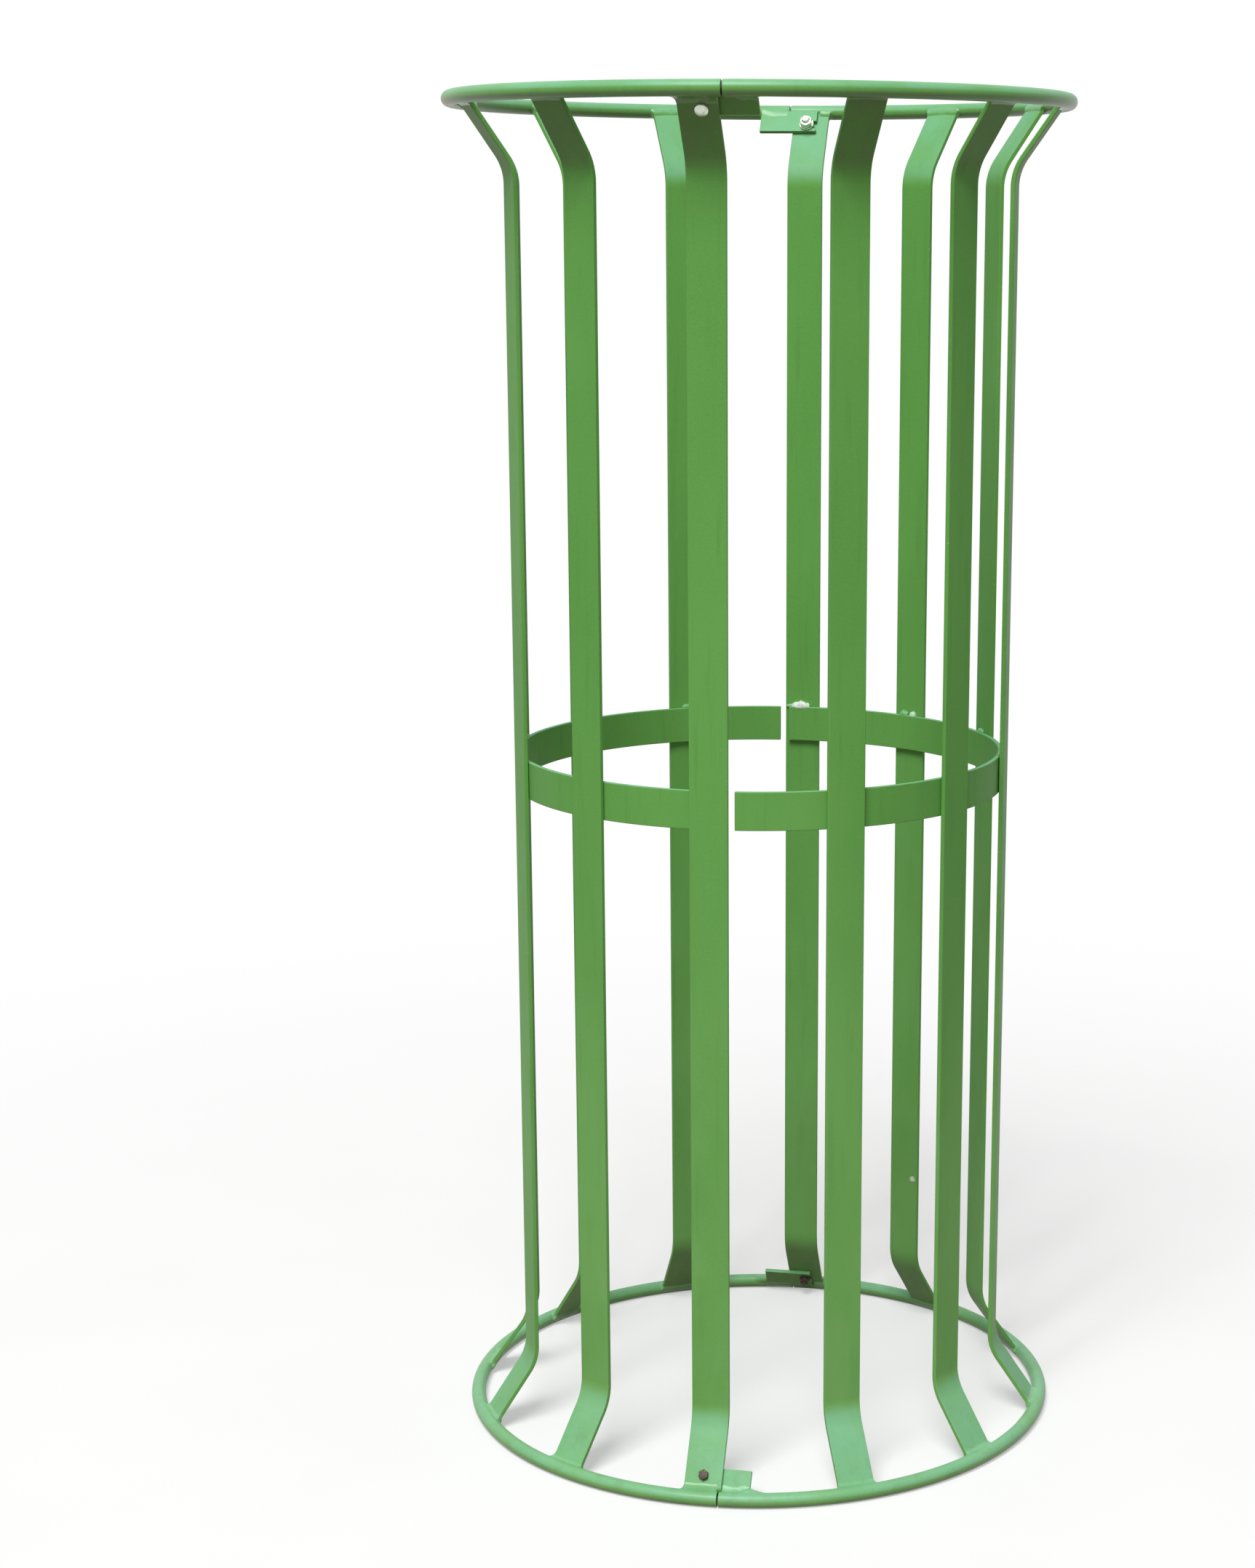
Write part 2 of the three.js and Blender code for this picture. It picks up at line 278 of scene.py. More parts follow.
class End:
    """The guard's top or bottom: which way its ring lies from mid height, its seam and its bolts."""

    def __init__(self, name, way, seam_past_slat):
        self.name = name
        self.way = way
        self.seam_side = SLAT_WIDTH / 2 + seam_past_slat
        self.seam_angle = math.asin(self.seam_side / RING_RADIUS)
        self.tab_reach = self.seam_side + TAB_WELD_LENGTH
        self.bolt = BOLTS[name]


ENDS = (End("top", 1, TOP_SEAM_PAST_SLAT), End("bottom", -1, BOTTOM_SEAM_PAST_SLAT))


def lerp(a, b, share):
    return a + (b - a) * share


def swell(share):
    """Rises from 0 to 1 and falls back to 0 as the share goes from 0 to 1."""
    return math.sin(math.pi * min(max(share, 0), 1))


def uneven(point, waves):
    """A factor near 1 that wanders from point to point."""
    scale, depth = waves
    return 1 + depth * noise.noise(point * scale)


def spun(turn):
    """A turn about the guard's axis."""
    return Matrix.Rotation(turn, 4, "Z")


def link(name, data):
    """A new object in the scene."""
    made = bpy.data.objects.new(name, data)
    bpy.context.scene.collection.objects.link(made)
    return made


def set_wear_and_painted_light(mesh, wear):
    mesh.attributes.new("wear", "FLOAT", "POINT").data.foreach_set("value", wear)


# Places at the front. An offset goes inward from the ring's centre line, square to the flare.

def flare_point(offset, drop):
    """How far out, and up from mid height, a point lies that is that far down the flare."""
    out = RING_RADIUS - offset * math.cos(FLARE_ANGLE) - drop * math.sin(FLARE_ANGLE)
    up = RING_HEIGHT + offset * math.sin(FLARE_ANGLE) - drop * math.cos(FLARE_ANGLE)
    return out, up


def front(side, out, up):
    """The point that far to the side (+X), out from the axis (-Y) and up from mid height."""
    return Vector((side, -out, HALF_HEIGHT + up))


def flare_front(side, offset, drop, end, inset=0.0):
    out, up = flare_point(offset, drop)
    return front(side, out - inset, end.way * up)


def cope_drop(side, offset, reach, inset=0.0):
    """How far down the flare a line across it comes out of a bar of radius reach on the ring."""
    low, high = 0.0, 3 * BAR_RADIUS
    for _ in range(COPE_SEARCH_STEPS):
        drop = (low + high) / 2
        out, up = flare_point(offset, drop)
        across = math.hypot(side, out - inset) - RING_RADIUS
        if math.hypot(across, up - RING_HEIGHT) < reach:
            low = drop
        else:
            high = drop
    return high


def ring_centre(point, end):
    """The nearest point to it on the ring's centre line."""
    flat = Vector((point.x, point.y, 0))
    return flat.normalized() * RING_RADIUS + Vector((0, 0, HALF_HEIGHT + end.way * RING_HEIGHT))


def onto_ring(point, end, reach):
    """The nearest point to it at that distance from the ring's centre line."""
    centre = ring_centre(point, end)
    return centre + (point - centre).normalized() * reach


def walk_ring(point, direction, length, end):
    """Where a walk of that length over the ring's skin ends, if it keeps near to a direction."""
    for _ in range(RING_WALK_STEPS):
        outward = (point - ring_centre(point, end)).normalized()
        way = (direction - outward * direction.dot(outward)).normalized()
        point = onto_ring(point + way * length / RING_WALK_STEPS, end, BAR_RADIUS)
    return point


def bolt_place(end):
    """The frame of a bolt at the front: origin on the slat's outer face, z towards the bolt's head."""
    turn = Matrix.Rotation(math.pi / 2 + end.way * FLARE_ANGLE, 4, "X")
    origin = flare_front(end.bolt["towards_seam"], SLAT_OUTER_OFFSET, BOLT_DROP, end)
    return Matrix.Translation(origin) @ turn


# Drawing: a shape gathers vertices, faces and edge wear with painted light, and becomes a piece

class Shape:
    def __init__(self):
        self.vertices = []
        self.faces = []
        self.wear = []

    def add(self, vertices, faces, wear=0.0):
        """Adds a skin. Its value of edge wear and painted light is one number, or one for each vertex.
        """
        start = len(self.vertices)
        self.vertices += vertices
        self.faces += [tuple(start + i for i in face) for face in faces]
        self.wear += wear if isinstance(wear, list) else [wear] * len(vertices)

    def sweep(self, rings, closed=False, wear=0.0):
        """A skin through rings of points of one count, with flat ends unless it closes on itself."""
        count = len(rings[0])
        faces = []
        for i in range(len(rings) if closed else len(rings) - 1):
            here, there = i * count, (i + 1) % len(rings) * count
            for j in range(count):
                k = (j + 1) % count
                faces.append((here + j, here + k, there + k, there + j))
        if not closed:
            last = (len(rings) - 1) * count
            faces += [tuple(range(count)), tuple(range(last, last + count))]
        self.add([point for ring in rings for point in ring], faces, wear)

    def place(self, matrix):
        self.vertices = [matrix @ vertex for vertex in self.vertices]

    def piece(self, name, turn, sharp=None):
        """The finished mesh, turned about the guard's axis, with its faces outward."""
        mesh = bpy.data.meshes.new(name)
        mesh.from_pydata([spun(turn) @ vertex for vertex in self.vertices], [], self.faces)
        set_wear_and_painted_light(mesh, self.wear)
        bm = bmesh.new()
        bm.from_mesh(mesh)
        bmesh.ops.recalc_face_normals(bm, faces=bm.faces)
        bm.to_mesh(mesh)
        bm.free()
        made = link(name, mesh)
        smooth(made, sharp)
        return made


EVEN_WEIGHT = 100


def smooth(piece, sharp):
    """Smooth shading that keeps edges over the sharp angle, and broad faces flat."""
    piece.data.shade_smooth()
    if sharp:
        piece.data.set_sharp_from_angle(angle=sharp)
    even = piece.modifiers.new("even_normals", "WEIGHTED_NORMAL")
    even.weight = EVEN_WEIGHT
    even.keep_sharp = True


def bar_section(width, thickness, radius, spacing, margin, corner_steps=CORNER_STEPS):
    """Points round a flat bar's section, each with its outward direction and its edge wear."""
    half_width, half_thickness = width / 2 - radius, thickness / 2 - radius
    reach = half_width - margin
    parts = round(2 * reach / spacing)
    points = []
    for quarter, (across, through) in enumerate(((1, 1), (-1, 1), (-1, -1), (1, -1))):
        corner = Vector((across * half_width, through * half_thickness))
        for step in range(corner_steps + 1):
            angle = (quarter + step / corner_steps) * math.pi / 2
            out = Vector((math.cos(angle), math.sin(angle)))
            points.append((corner + radius * out, out, WORN))
        if across == through:
            # Without a margin the first and last points are the corners' own
            for part in range(parts + 1) if margin else range(1, parts):
                along = across * reach * (1 - 2 * part / parts)
                points.append((Vector((along, through * thickness / 2)), Vector((0, through)), 0.0))
    return points


# Rings

def hoop_stations(start, stop, inset, at_ends, between):
    """Angles along a hoop, each with a value: one at both ends, and another from an inset on."""
    angles = [lerp(start + inset, stop - inset, step / ARC_STEPS) for step in range(ARC_STEPS + 1)]
    return [(start, at_ends), *((angle, between) for angle in angles), (stop, at_ends)]


def ring_half(end):
    """Half a hoop of round bar from seam to seam, its ends a little chamfered."""
    start = end.seam_angle - math.pi + SEAM_GAP / RING_RADIUS
    radii = (BAR_RADIUS - RING_END_CHAMFER, BAR_RADIUS)
    stations = hoop_stations(start, end.seam_angle, RING_END_CHAMFER / RING_RADIUS, *radii)
    rings, wear = [], []
    for angle, radius in stations:
        ring = []
        for segment in range(BAR_SEGMENTS):
            around = 2 * math.pi * segment / BAR_SEGMENTS
            out = RING_RADIUS - RING_TRIM + radius * math.cos(around)
            up = end.way * RING_HEIGHT + radius * math.sin(around)
            ring.append(front(out * math.sin(angle), out * math.cos(angle), up))
            # The chamfered end faces, in the seam gap, take painted shade.
            wear.append(PAINTED_SEAM_SHADE if radius < BAR_RADIUS else RING_WEAR)
        rings.append(ring)
    shape = Shape()
    shape.sweep(rings, wear=wear)
    return shape


# Slats

def slat_places(bow, clear_side=None):
    """Where a section point lies in the front's upright plane, by station from mid height to the ring.

    Past clear_side the slat's end keeps clear of the ring, and is welded to it elsewhere.
    """
    bend_start = flare_point(SLAT_OFFSET, BEND_DROP)[1] - BEND_REACH

    def straight(share):
        bulge = bow * (1 - share * share)
        return lambda side, through: (SLAT_RADIUS + through + bulge, share * bend_start)

    def bent(angle):
        def place(side, through):
            reach = BEND_RADIUS - through
            out = SLAT_RADIUS + BEND_RADIUS - reach * math.cos(angle)
            return out, bend_start + reach * math.sin(angle)
        return place

    def flared(share):
        def place(side, through):
            offset = SLAT_OFFSET - through
            clear = clear_side is not None and side > clear_side
            end_drop = cope_drop(side, offset, BAR_RADIUS + (FIT_GAP if clear else -SINK))
            return flare_point(offset, lerp(BEND_DROP - BEND_REACH, end_drop, share))
        return place

    places = [straight(step / STRAIGHT_STEPS) for step in range(STRAIGHT_STEPS)]
    places += [bent(step / BEND_STEPS * FLARE_ANGLE) for step in range(BEND_STEPS + 1)]
    return places + [flared(share) for share in FLARE_SHARES]


def slat_bar(seam):
    """Flat bar, straight in the middle, bent out at both ends and coped to the rings."""
    section = bar_section(SLAT_WIDTH, SLAT_THICKNESS, SLAT_EDGE_RADIUS, SECTION_SPACING, EDGE_MARGIN)
    bow = rng.uniform(0, SLAT_BOW)
    upper, lower = (slat_places(bow, end.seam_side - SEAM_MARGIN if seam else None) for end in ENDS)
    stations = [(place, -1) for place in lower[:0:-1]] + [(place, 1) for place in upper]
    rings = []
    for place, end in stations:
        ring = []
        for point, _, _ in section:
            out, up = place(point.x, point.y)
            ring.append(front(point.x, out, end * up))
        rings.append(ring)
    shape = Shape()
    shape.sweep(rings, wear=[edge for _ in rings for _, _, edge in section])
    return shape


def drill(piece, cutters):
    """Cuts the cutters out of the piece, and deletes them."""
    for cutter in cutters:
        modifier = piece.modifiers.new("hole", "BOOLEAN")
        modifier.object = cutter
        modifier.solver = "EXACT"
    piece.modifiers.move(0, len(piece.modifiers) - 1)
    even = piece.modifiers[-1]
    even.show_viewport = False
    evaluated = piece.evaluated_get(bpy.context.evaluated_depsgraph_get())
    piece.data = bpy.data.meshes.new_from_object(evaluated)
    even.show_viewport = True
    for modifier in list(piece.modifiers):
        if modifier.type == "BOOLEAN":
            piece.modifiers.remove(modifier)
    for cutter in cutters:
        bpy.data.objects.remove(cutter)
    bm = bmesh.new()
    bm.from_mesh(piece.data)
    bmesh.ops.dissolve_degenerate(bm, dist=MERGE_DISTANCE, edges=bm.edges)
    bm.to_mesh(piece.data)
    bm.free()


def round_points(reaches, height):
    """A ring of points round an upright axis, at those distances from it."""
    angles = (2 * math.pi * index / len(reaches) for index in range(len(reaches)))
    return [
        Vector((reach * math.cos(angle), reach * math.sin(angle), height))
        for reach, angle in zip(reaches, angles)
    ]


def hole_cutter(end, turn):
    radius = end.bolt["shank"] / 2 + BOLT_HOLE_CLEARANCE
    heights = (SLAT_THICKNESS, -2 * SLAT_THICKNESS)
    shape = Shape()
    shape.sweep([round_points([radius] * ROUND_SEGMENTS, height) for height in heights], wear=WORN)
    shape.place(bolt_place(end))
    cutter = shape.piece("hole_cutter", turn)
    cutter.modifiers.clear()
    return cutter


# Middle band

def band_half():
    """Half a hoop of flat bar, from its own first slat to a free tip short of the other half's."""
    root = math.asin((SLAT_WIDTH / 2 - BAND_ROOT_INSET) / BAND_OUTER_RADIUS)
    tip = math.asin((SLAT_WIDTH / 2 + BAND_TIP_CLEARANCE) / BAND_OUTER_RADIUS) - math.pi
    section = bar_section(BAND_HEIGHT, BAND_THICKNESS, BAND_EDGE_RADIUS, SECTION_SPACING, EDGE_MARGIN)
    stations = hoop_stations(tip, root, BAND_EDGE_RADIUS / BAND_RADIUS, BAND_END_INSET, 0.0)
    rings, wear = [], []
    for angle, inset in stations:
        ring = []
        for point, out, edge in section:
            radius = BAND_RADIUS + point.y - inset * out.y
            height = BAND_CENTRE_HEIGHT + point.x - inset * out.x
            ring.append(Vector((radius * math.sin(angle), -radius * math.cos(angle), height)))
            wear.append(WORN if inset else edge)
        rings.append(ring)
    shape = Shape()
    shape.sweep(rings, wear=wear)
    return shape


# Joining tabs

def tab_outline(end):
    """The tab's edge, as places to the side and down the flare, with a bolt slot open at the tail."""
    radius = end.bolt["shank"] / 2 + BOLT_HOLE_CLEARANCE
    slot_side, slot_drop = end.bolt["towards_seam"], BOLT_DROP - SLAT_EDGE_SAG * math.sin(FLARE_ANGLE)
    upper, lower = TAB_EDGE_DROP, TAB_EDGE_DROP + TAB_WIDTH
    outline = [(-TAB_TAIL, slot_drop - radius), (-TAB_TAIL, upper), (end.tab_reach, upper)]
    outline += [(end.tab_reach, lower), (-TAB_TAIL, lower), (-TAB_TAIL, slot_drop + radius)]
    for step in range(ROUND_SEGMENTS // 2 + 1):
        angle = math.pi / 2 - math.pi * step / (ROUND_SEGMENTS // 2)
        outline.append((slot_side + radius * math.cos(angle), slot_drop + radius * math.sin(angle)))
    return outline


def tab_piece(name, end, turn):
    """A flat plate in the flare's plane, its edges a little rounded."""
    bm = bmesh.new()
    loops = []
    for offset in (TAB_FACE_OFFSET, TAB_FACE_OFFSET + TAB_THICKNESS):
        places = [flare_front(side, offset, drop, end, SLAT_EDGE_SAG) for side, drop in tab_outline(end)]
        loops.append([bm.verts.new(spun(turn) @ place) for place in places])
    for loop in loops:
        bm.faces.new(loop)
    for i, (outer, inner) in enumerate(zip(*loops)):
        bm.faces.new((loops[0][i - 1], outer, inner, loops[1][i - 1]))
    bmesh.ops.recalc_face_normals(bm, faces=bm.faces)
    sharp = [edge for edge in bm.edges if edge.calc_face_angle(0) > FLARE_ANGLE]
    rounding = dict(offset=TAB_EDGE_RADIUS, segments=TAB_EDGE_SEGMENTS, profile=0.5)
    bmesh.ops.bevel(bm, geom=sharp, affect="EDGES", **rounding)
    mesh = bpy.data.meshes.new(name)
    bm.to_mesh(mesh)
    bm.free()
    edge_area = TAB_EDGE_RADIUS * TAB_WIDTH
    worn = [0.0] * len(mesh.vertices)
    for polygon in mesh.polygons:
        if polygon.area < edge_area:
            for vertex in polygon.vertices:
                worn[vertex] = TAB_EDGE_WEAR
    set_wear_and_painted_light(mesh, worn)
    piece = link(name, mesh)
    smooth(piece, None)
    return piece


# Welds: each cut is a ring of points, from the plate's skin over the bead to the bar and back inside

def fillet_cut(root, down, out, climb, leg, crown, end, travelled, rough):
    """A cut where a plate meets the bar. It climbs the plate, and runs out over the bar by its leg.

    A crown of 0 blends smoothly into both, and a larger one stands proud as a bead.
    """
    toe = root + down * climb - out * WELD_SINK
    far = onto_ring(walk_ring(root, out, leg, end), end, BAR_RADIUS - WELD_SINK)
    outward = (far - ring_centre(far, end)).normalized()
    fall = down.dot(outward)
    rise = (far - root).dot(outward) / fall if fall > BLEND_LEAST_FALL else climb
    blended = root + down * min(max(rise, 0.0), BLEND_MOST_CLIMB * climb)
    outward = (out + outward).normalized()
    proud = (toe + far) / 2 + outward * 2 * crown
    corner = blended.lerp(proud, min(1.0, crown / INNER_CROWN))
    cut = []
    for step in range(WELD_STEPS + 1):
        share = step / WELD_STEPS
        point = toe.lerp(corner, share).lerp(corner.lerp(far, share), share)
        phase = (travelled - RIPPLE_LEAN * swell(share) * RIPPLE_LENGTH) / RIPPLE_LENGTH
        lump = LUMP_HEIGHT * noise.noise(point * LUMP_SCALE)
        bump = RIPPLE_HEIGHT * math.sin(2 * math.pi * phase) + lump
        cut.append(point + outward * bump * swell(share) * rough)
    cut.append(onto_ring(root - out * WELD_CORE, end, BAR_RADIUS - WELD_CORE))
    return cut


def spin_cuts(cuts, turn):
    spin = spun(turn)
    return [[spin @ point for point in cut] for cut in cuts]


def flare_directions(end):
    """The ways out of the flare's outer face, and down it from the ring, at the front."""
    root = flare_front(0, 0, 0, end)
    outer = (flare_front(0, -MM, 0, end) - root).normalized()
    return outer, (flare_front(0, 0, MM, end) - root).normalized()


def seam_slat_path(section, end):
    """The welded part of a seam slat's outline: on its own ring, and clear of the other half's tab."""
    clear = -TAB_TAIL - WELD_CLEARANCE
    path = [(point, out) for point, out in section if point.x < end.seam_side - SEAM_MARGIN]
    path = [(point, out) for point, out in path if out.y >= 0 or point.x < clear]
    if end.seam_side > SLAT_WIDTH / 2:
        path.insert(0, (Vector((SLAT_WIDTH / 2, WELD_CORE - SLAT_THICKNESS / 2)), Vector((1, 0))))
    return path


def slat_weld(shape, end, turn, side_legs, seam):
    """The fillet round a slat's end on its ring."""
    sizes = (SLAT_WIDTH, SLAT_THICKNESS, SLAT_EDGE_RADIUS)
    section = bar_section(*sizes, WELD_SPACING, 0.0, WELD_CORNER_STEPS)
    path = [(point, out) for point, out, _ in section]
    if seam:
        path = seam_slat_path(path, end)
    outer, down = flare_directions(end)
    face_leg = (SEAM_SLAT_FACE_LEG if seam else FACE_LEG) * rng.uniform(*FACE_LEG_SHARES)
    cuts, travelled, before = [], 0.0, path[0][0]
    for point, out in path:
        travelled += (point - before).length
        before = point
        offset = SLAT_OFFSET - point.y
        root = flare_front(point.x, offset, cope_drop(point.x, offset, BAR_RADIUS), end)
        direction = Vector((out.x, 0, 0)) + outer * out.y
        sideways, inward = out.x * out.x, max(0.0, -out.y) ** 2
        leg = lerp(face_leg, side_legs[1 if out.x > 0 else 0], sideways)
        leg = lerp(leg, FACE_LEG, inward) * uneven(root, SLAT_WELD_WAVES)
        if seam:
            taper = max(0.0, end.seam_side - point.x) / SEAM_TAPER_LENGTH
            leg *= min(1.0, SEAM_TAPER_LEAST + taper)
        climb = leg * CLIMB
        if seam and out.x > 0:
            climb = lerp(climb, SEAM_SIDE_CLIMB, sideways)
        crown = INNER_CROWN * inward
        rough = FACE_ROUGHNESS + INNER_ROUGHNESS * inward
        cuts.append(fillet_cut(root, down, direction, climb, leg, crown, end, travelled, rough))
    shape.sweep(spin_cuts(cuts, turn), closed=not seam, wear=RING_WELD_WEAR)


def tab_weld(shape, end, turn):
    """The fillet between a tab and its own ring, over the outer face, round the end and back inside."""
    outer, down = flare_directions(end)
    start = end.seam_side + SEAM_GAP + SEAM_MARGIN
    reach = end.tab_reach - TAB_EDGE_RADIUS
    steps = round((reach - start) / WELD_SPACING)
    path = [(lerp(start, reach, step / steps), 0.0, 0.0) for step in range(steps)]
    turns = 2 * WELD_CORNER_STEPS
    path += [(reach, math.pi * step / turns, step / turns) for step in range(turns + 1)]
    path += [(lerp(reach, start, step / steps), math.pi, 1.0) for step in range(1, steps + 1)]
    cuts = []
    for index, (side, bearing, through) in enumerate(path):
        offset = TAB_FACE_OFFSET + TAB_THICKNESS * through
        drop = max(TAB_EDGE_DROP + TAB_EDGE_MARGIN, cope_drop(side, offset, BAR_RADIUS, SLAT_EDGE_SAG))
        root = flare_front(side + TAB_EDGE_RADIUS * math.sin(bearing), offset, drop, end, SLAT_EDGE_SAG)
        direction = Vector((math.sin(bearing), 0, 0)) + outer * math.cos(bearing) - down * through
        at_end = math.sin(bearing) ** 2
        lumps = uneven(root, TAB_WELD_WAVES)
        leg = lerp(TAB_LEG, TAB_END_LEG, at_end) * lumps
        climb = lerp(lerp(TAB_CLIMB, TAB_INNER_CLIMB, through), TAB_END_LEG, at_end) * lumps
        crown = INNER_CROWN * through * (1 - at_end)
        travelled = index * WELD_SPACING
        cuts.append(fillet_cut(root, down, direction, climb, leg, crown, end, travelled, TAB_ROUGHNESS))
    shape.sweep(spin_cuts(cuts, turn), wear=TAB_WELD_WEAR)
    if end.name == "bottom":
        run_off(shape, end, turn)


def run_off(shape, end, turn):
    """A ridge of weld on the ring that swells along the tab and thins out past its end."""
    outer, down = flare_directions(end)
    length = RUN_UP_LENGTH + RUN_OFF_LENGTH
    steps = round(length / WELD_SPACING)
    cuts = []
    for step in range(steps + 1):
        along = length * step / steps - RUN_UP_LENGTH
        if along < 0:
            height = RUN_OFF_HEIGHT * math.sin((1 + along / RUN_UP_LENGTH) * math.pi / 2) ** 2
        else:
            height = RUN_OFF_HEIGHT * (1 - along / RUN_OFF_LENGTH) ** RUN_OFF_FALL
        angle = (end.tab_reach + along) / RING_RADIUS
        side, out = RING_RADIUS * math.sin(angle), RING_RADIUS * math.cos(angle)
        centre = front(side, out, end.way * RING_HEIGHT)
        cut = [centre]
        for part in range(2 * WELD_STEPS + 1):
            share = part / (2 * WELD_STEPS)
            bearing = lerp(*RUN_OFF_SPREAD, share)
            way = down * math.cos(bearing) + outer * math.sin(bearing)
            lumps = LUMP_HEIGHT * noise.noise((centre + way * BAR_RADIUS) * LUMP_SCALE)
            ridge = (height + lumps) * swell(share) ** RUN_OFF_ROUNDING
            cut.append(centre + way * (BAR_RADIUS - WELD_SINK + ridge))
        cuts.append(cut)
    shape.sweep(spin_cuts(cuts, turn), wear=RING_WELD_WEAR)


def tack(shape, turn, centre, length, radius, pale):
    """A short lumpy bead across a slat's inner face on the band's upper edge."""
    seed = Vector((centre * TACK_SEEDS[0], length * TACK_SEEDS[1], turn))
    steps = round(length / WELD_SPACING)
    cuts = []
    for step in range(steps + 1):
        share = step / steps
        side = centre + length * (share - 0.5)
        swollen = swell(TACK_ENDS[0] + TACK_ENDS[1] * share)
        size = radius * math.sqrt(swollen) ** TACK_END_POWER
        size *= 1 + TACK_BULGE * noise.noise(seed + Vector((side * TACK_BULGE_SCALE, 0, 0)))
        depth = BAND_OUTER_RADIUS - TACK_DEPTH * radius
        middle = Vector((0, depth, BAND_CENTRE_HEIGHT + BAND_HEIGHT / 2))
        cut = []
        for segment in range(2 * WELD_STEPS):
            around = math.pi * segment / WELD_STEPS
            across, along = TACK_BUMP_REACH * math.cos(around), TACK_BUMP_REACH * math.sin(around)
            spot = seed + Vector((side * TACK_BUMP_SCALE, across, along))
            bump = 1 + TACK_BUMP * noise.noise(spot)
            inward = size * bump * math.cos(around)
            up = size * bump * math.sin(around) * (TACK_RISE if math.sin(around) > 0 else TACK_FALL)
            cut.append(Vector((side, -(middle.y - inward), middle.z + up)))
        cuts.append(cut)
    # pale is the share of painted glare that the dab shows.
    shape.sweep(spin_cuts(cuts, turn), wear=lerp(TACK_WEAR, PAINTED_GLARE, pale))


def band_welds(shape, side, half_turn):
    """Tack welds between the band and each slat of its half."""
    for index, turn in enumerate(slat_turns(half_turn)):
        some_tack = (rng.uniform(*TACK_SHIFTS) * MM, TACK_LENGTH, rng.uniform(*TACK_RADII), 0.0)
        for centre, length, radius, pale in SEEN_TACKS.get((side, index + 1), [some_tack]):
            tack(shape, turn, centre, length, radius, pale)


# Fasteners, drawn in the bolt's own frame

def at(value, angle):
    return value(angle) if callable(value) else value


def turned(shape, profile, segments=ROUND_SEGMENTS):
    """A turned solid, from distances from the axis and heights, each a number or a function of angle."""
    rings = []
    for segment in range(segments):
        angle = 2 * math.pi * segment / segments
        points = [Vector((at(radius, angle), 0, at(height, angle))) for radius, height in profile]
        rings.append([spun(angle) @ point for point in points])
    shape.sweep(rings, closed=True, wear=FASTENER_WEAR)


def hexagon(width):
    """The distance from the axis to a hexagon's side, by angle, with a corner up the flare."""
    def radius(angle):
        return width / 2 / math.cos((angle + math.pi / 6) % (math.pi / 3) - math.pi / 6)
    return radius


def chamfered_hexagon(width, lower, upper, both):
    """Profile points of a hexagon whose corners are turned off at its upper side, or at both."""
    radius = hexagon(width)
    inner = HEXAGON_FLAT * width
    fall = math.tan(HEXAGON_CHAMFER)

    def shoulder(height, way):
        return lambda angle: height - way * (radius(angle) - inner) * fall

    points = []
    if both:
        points += [(inner, lower), (radius, shoulder(lower, -1))]
    else:
        points += [(radius, lower)]
    return points + [(radius, shoulder(upper, 1)), (inner, upper)]


def bolt_tip(bolt):
    grip = SLAT_THICKNESS + TAB_THICKNESS + bolt["washer_thickness"] + bolt["nut_height"]
    return -grip - 3 * FIT_GAP - BOLT_END_LENGTH


def shank(shape, bolt):
    """A shank threaded below the plates that it holds, its tip chamfered."""
    radius, pitch, tip = bolt["shank"] / 2, bolt["pitch"], bolt_tip(bolt)
    depth = THREAD_DEPTH * pitch
    thread_start = -SLAT_THICKNESS - TAB_THICKNESS - FIT_GAP
    steps = round((thread_start - tip) / pitch * THREAD_STEPS)
    smooth_ends = (FIT_GAP, thread_start + pitch)
    rings = [round_points([radius] * ROUND_SEGMENTS, height) for height in smooth_ends]
    for step in range(steps + 1):
        height = lerp(thread_start, tip, step / steps)
        limit = radius - max(0.0, BOLT_END_CHAMFER - (height - tip))
        phases = [(height / pitch + segment / ROUND_SEGMENTS) % 1 for segment in range(ROUND_SEGMENTS)]
        reaches = [min(limit, radius - depth * abs(2 * phase - 1)) for phase in phases]
        rings.append(round_points(reaches, height))
    shape.sweep(rings, wear=FASTENER_WEAR)


def domed_head(shape, bolt):
    radius, rim, base = bolt["head"] / 2, bolt["rim"], FIT_GAP
    core = CORE * radius
    profile = [(core, base), (radius - HEAD_BASE_ROUND, base), (radius, base + HEAD_BASE_ROUND)]
    profile.append((radius, base + rim - HEAD_RIM_ROUND))
    for step in range(DOME_STEPS + 1):
        angle = step / DOME_STEPS * math.pi / 2
        reach = max(core, (radius - DOME_INSET) * math.cos(angle))
        profile.append((reach, base + rim + (bolt["head_height"] - rim) * math.sin(angle)))
    turned(shape, profile)


def hexagonal_head(shape, bolt):
    upper = FIT_GAP + bolt["head_height"]
    core = CORE * bolt["head"]
    sides = chamfered_hexagon(bolt["head"], FIT_GAP, upper, False)
    turned(shape, [(core, FIT_GAP), *sides, (core, upper)], HEXAGON_SEGMENTS)


def bolt_shape(bolt):
    shape = Shape()
    shank(shape, bolt)
    if bolt["domed"]:
        domed_head(shape, bolt)
    else:
        hexagonal_head(shape, bolt)
    return shape


def washer_shape(bolt):
    outer, inner = bolt["washer"] / 2, bolt["shank"] / 2 + FIT_GAP
    upper = -SLAT_THICKNESS - TAB_THICKNESS - 2 * FIT_GAP
    lower = upper - bolt["washer_thickness"]
    soft = WASHER_ROUND
    shape = Shape()
    turned(shape, [
        (inner, lower + soft), (inner + soft, lower), (outer - soft, lower), (outer, lower + soft),
        (outer, upper - soft), (outer - soft, upper), (inner + soft, upper), (inner, upper - soft),
    ])
    return shape


